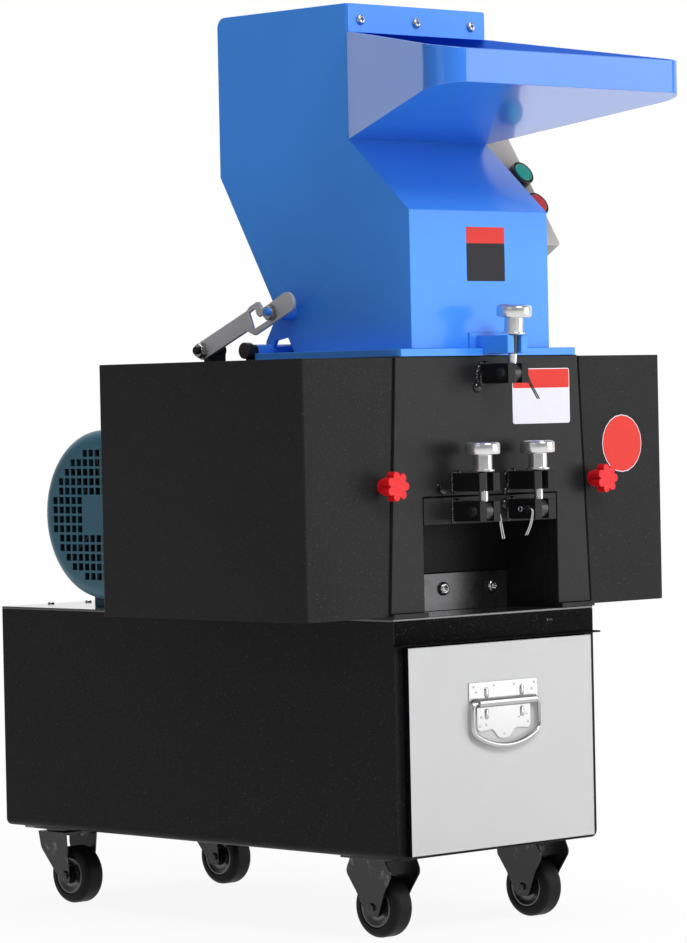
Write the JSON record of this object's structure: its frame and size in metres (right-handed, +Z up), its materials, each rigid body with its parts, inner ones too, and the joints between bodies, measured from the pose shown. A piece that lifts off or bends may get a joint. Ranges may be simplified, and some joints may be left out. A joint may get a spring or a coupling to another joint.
{
  "type": "plastic shredder",
  "caption": "Upright plastic granulator with a flared feed tray, hopper, guarded crusher, motor and collecting drawer in a base cabinet on castors.",
  "frame": {"origin": "on the floor below the centre of the bounding box", "axes": "+Z up, -Y out of the drawer side, +X to the right seen from the drawer side"},
  "size_m": [0.565, 0.807, 1.033],
  "materials": {
    "base_black": "fine-textured black powder coat, semi-matt",
    "drawer_grey": "smooth light grey enamel",
    "tray_steel": "plain galvanised sheet",
    "handle_nickel": "bright nickel plate",
    "tyre_black": "hard black rubber",
    "castor_steel": "black zinc, satin",
    "body_black": "satin black enamel over machined plate",
    "chute_steel": "dark machined steel",
    "guard_charcoal": "fine-textured charcoal powder coat",
    "knob_red": "bright red moulded plastic",
    "bolt_chrome": "polished chrome",
    "hopper_blue": "glossy blue enamel",
    "pin_black": "black oxide",
    "stay_zinc": "bright zinc plate",
    "motor_teal": "semi-gloss teal enamel",
    "motor_black": "black moulded plastic",
    "control_grey": "warm light grey enamel",
    "bezel_black": "black plastic ring",
    "button_green": "green plastic",
    "button_red": "red plastic"
  },
  "bodies": {
    "machine": {"base_cabinet": "base_black", "base_top": "base_black", "front_rail": "base_black", "front_castor_brackets": "castor_steel", "rear_castor_plates": "castor_steel", "crusher_front_plate": "body_black", "crusher_cheek_left": "body_black", "crusher_cheek_right": "body_black", "crusher_rear_plate": "body_black", "crusher_top_frame": "body_black", "chute_plate": "chute_steel", "bed_plate": "chute_steel", "cradle_bar": "body_black", "left_guard": "guard_charcoal", "right_guard": "guard_charcoal", "star_knobs": "knob_red", "bolt_forks": "body_black", "clevis_pins": "pin_black", "hopper_fork": "hopper_blue", "hopper_shell": "hopper_blue", "hopper_flange": "hopper_blue", "feed_tray": "hopper_blue", "hinge_barrels": "hopper_blue", "hinge_pins": "pin_black", "stay_bar": "stay_zinc", "motor_frame": "motor_teal", "motor_rails": "motor_teal", "terminal_box": "motor_teal", "fan_cover": "motor_teal", "control_box": "control_grey", "button_bezels": "bezel_black"},
    "drawer": {"drawer_tray": "tray_steel", "drawer_front": "drawer_grey", "handle_plate": "handle_nickel"},
    "bail": {"handle_bail": "handle_nickel"},
    "top_swing_bolt": {"swing_bolt_top": "bolt_chrome"},
    "left_swing_bolt": {"swing_bolt_left": "bolt_chrome"},
    "right_swing_bolt": {"swing_bolt_right": "bolt_chrome"},
    "rear_left_swivel": {"castor_fork_left": "castor_steel"},
    "rear_right_swivel": {"castor_fork_right": "castor_steel"},
    "front_left_wheel": {"wheel_front_left": "tyre_black"},
    "front_right_wheel": {"wheel_front_right": "tyre_black"},
    "rear_left_wheel": {"wheel_rear_left": "tyre_black"},
    "rear_right_wheel": {"wheel_rear_right": "tyre_black"},
    "fan": {"motor_fan": "motor_black"},
    "start_button": {"green_button": "button_green"},
    "stop_button": {"red_button": "button_red"}
  },
  "joints": [
    {"name": "drawer_slide", "type": "slide", "parent": "machine", "child": "drawer", "axis": [0, -1, 0], "range_m": [0, 0.4]},
    {"name": "bail_hinge", "type": "hinge", "parent": "drawer", "child": "bail", "pos_m": [0, -0.2847, 0.256], "axis": [-1, 0, 0], "range_deg": [0, 90]},
    {"name": "top_bolt_swing", "type": "hinge", "parent": "machine", "child": "top_swing_bolt", "pos_m": [0.005, -0.299, 0.619], "axis": [1, 0, 0], "range_deg": [0, 134]},
    {"name": "left_bolt_swing", "type": "hinge", "parent": "machine", "child": "left_swing_bolt", "pos_m": [-0.0435, -0.299, 0.468], "axis": [1, 0, 0], "range_deg": [0, 180]},
    {"name": "right_bolt_swing", "type": "hinge", "parent": "machine", "child": "right_swing_bolt", "pos_m": [0.0435, -0.299, 0.468], "axis": [1, 0, 0], "range_deg": [0, 180]},
    {"name": "rear_left_swivel_turn", "type": "hinge", "parent": "machine", "child": "rear_left_swivel", "pos_m": [-0.119, 0.3435, 0.083], "axis": [0, 0, 1], "continuous": true},
    {"name": "rear_right_swivel_turn", "type": "hinge", "parent": "machine", "child": "rear_right_swivel", "pos_m": [0.119, 0.3435, 0.083], "axis": [0, 0, 1], "continuous": true},
    {"name": "front_left_roll", "type": "hinge", "parent": "machine", "child": "front_left_wheel", "pos_m": [-0.119, -0.2065, 0.034], "axis": [1, 0, 0], "continuous": true},
    {"name": "front_right_roll", "type": "hinge", "parent": "machine", "child": "front_right_wheel", "pos_m": [0.119, -0.2065, 0.034], "axis": [1, 0, 0], "continuous": true},
    {"name": "rear_left_roll", "type": "hinge", "parent": "rear_left_swivel", "child": "rear_left_wheel", "pos_m": [-0.119, 0.3195, 0.034], "axis": [1, 0, 0], "continuous": true},
    {"name": "rear_right_roll", "type": "hinge", "parent": "rear_right_swivel", "child": "rear_right_wheel", "pos_m": [0.119, 0.3195, 0.034], "axis": [1, 0, 0], "continuous": true},
    {"name": "fan_spin", "type": "hinge", "parent": "machine", "child": "fan", "pos_m": [-0.13, 0.2195, 0.465], "axis": [1, 0, 0], "continuous": true},
    {"name": "start_press", "type": "slide", "parent": "machine", "child": "start_button", "axis": [0, 0.8453, -0.5344], "range_m": [0, 0.003], "stiffness_N_per_m": 400},
    {"name": "stop_press", "type": "slide", "parent": "machine", "child": "stop_button", "axis": [0, 0.8453, -0.5344], "range_m": [0, 0.003], "stiffness_N_per_m": 400}
  ]
}
